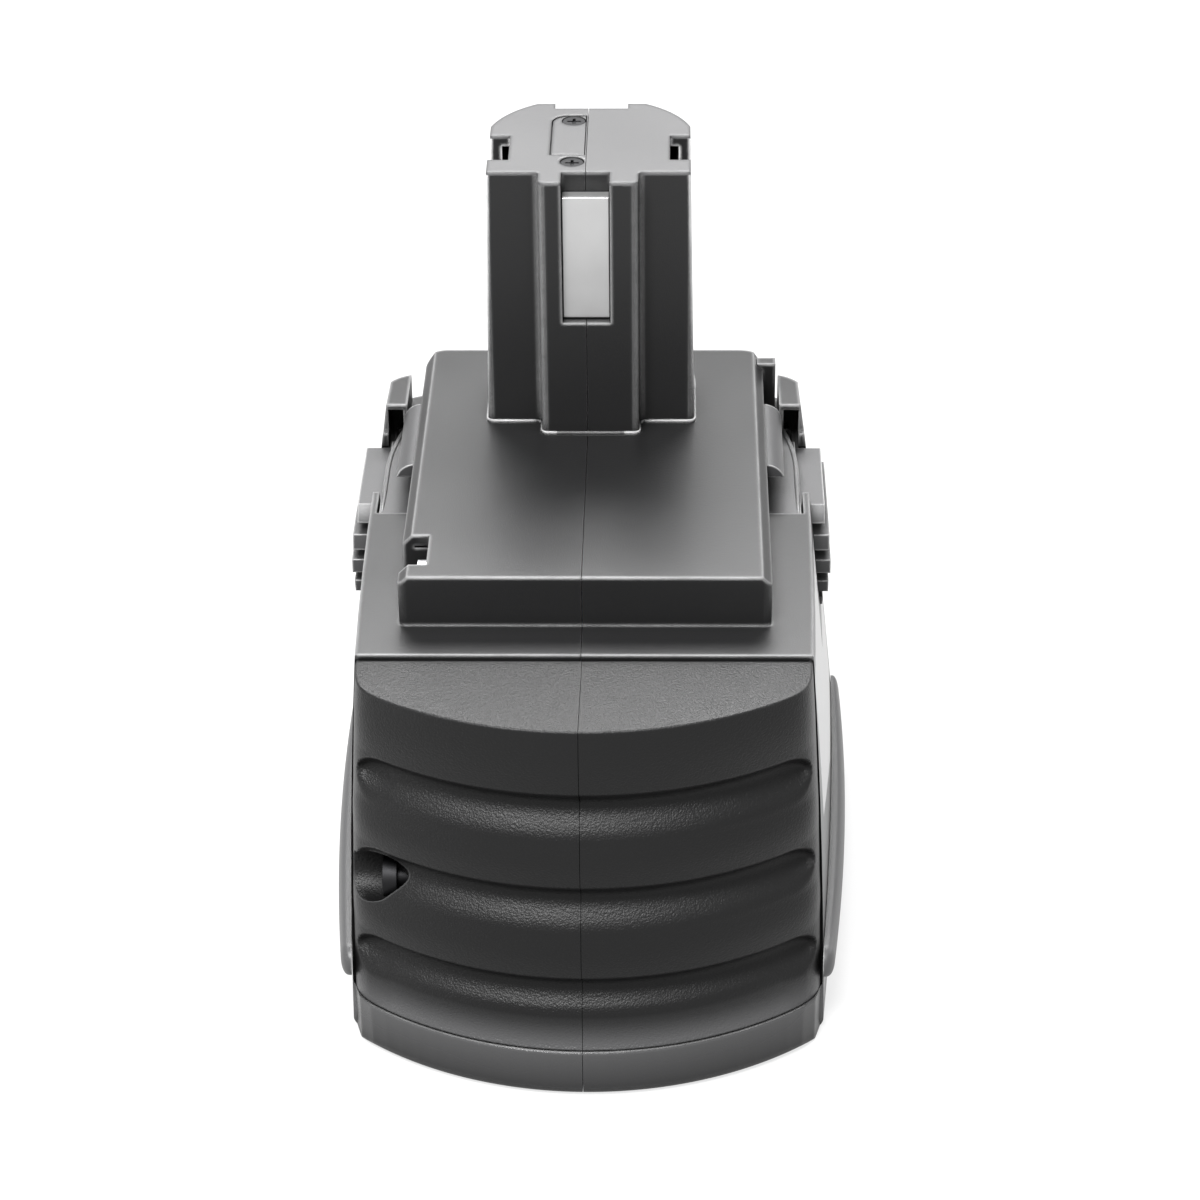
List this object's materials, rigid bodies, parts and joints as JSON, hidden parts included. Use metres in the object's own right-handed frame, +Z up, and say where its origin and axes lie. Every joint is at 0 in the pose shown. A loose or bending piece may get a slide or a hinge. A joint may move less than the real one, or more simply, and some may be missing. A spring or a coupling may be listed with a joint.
{
  "type": "power tool battery pack",
  "caption": "Black stem-type rechargeable battery pack for a hand-held power tool, with a ribbed front grip, a raised platform, a contact stem and sprung side latches.",
  "frame": {"origin": "on the floor, under the middle of the pack's bounding box", "axes": "+X to the pack's right, +Y to its rear, +Z up along the stem; the ribbed grip faces -Y"},
  "size_m": [0.0936, 0.116, 0.1323],
  "materials": {
    "case": "satin black",
    "grip": "fine grained black",
    "bumper": "satin dark grey",
    "label": "bare, smooth",
    "latch": "satin dark grey",
    "screws": "zinc plated",
    "black_screws": "black oxide",
    "spring": "drawn wire",
    "cells": "shrink sleeve",
    "nickel": "rolled strip",
    "foam": "foam",
    "card": "fish paper",
    "inner_plastic": "moulded",
    "contacts": "nickel plated brass",
    "red_lead": "insulated wire",
    "black_lead": "insulated wire"
  },
  "bodies": {
    "pack": {"left_shell": "case", "right_shell": "case", "left_grip": "grip", "right_grip": "grip", "left_bumper": "bumper", "right_bumper": "bumper", "left_label": "label", "right_label": "label", "stem_cover": "case", "stem_screws": "black_screws", "case_screws": "black_screws", "platform_screw": "screws", "left_latch_spring": "spring", "right_latch_spring": "spring", "lower_cells": "cells", "upper_cells": "cells", "stem_cell": "cells", "bottom_straps": "nickel", "top_straps": "nickel", "upper_strap": "nickel", "bottom_pad": "foam", "front_pad": "foam", "rear_pad": "foam", "insulator_card": "card", "stem_post": "inner_plastic", "contact_carrier": "inner_plastic", "front_contact": "contacts", "left_contact": "contacts", "right_contact": "contacts", "positive_lead": "red_lead", "negative_lead": "black_lead", "thermistor": "inner_plastic", "thermal_cutout": "nickel"},
    "left_latch": {"left_latch": "latch"},
    "right_latch": {"right_latch": "latch"}
  },
  "joints": [
    {"name": "left_latch_slide", "type": "slide", "parent": "pack", "child": "left_latch", "axis": [1, 0, 0], "range_m": [0, 0.0032], "stiffness_N_per_m": 1500, "springref_m": -0.002, "deforming": ["left_latch_spring"]},
    {"name": "right_latch_slide", "type": "slide", "parent": "pack", "child": "right_latch", "axis": [-1, 0, 0], "range_m": [0, 0.0032], "stiffness_N_per_m": 1500, "springref_m": -0.002, "deforming": ["right_latch_spring"]}
  ]
}
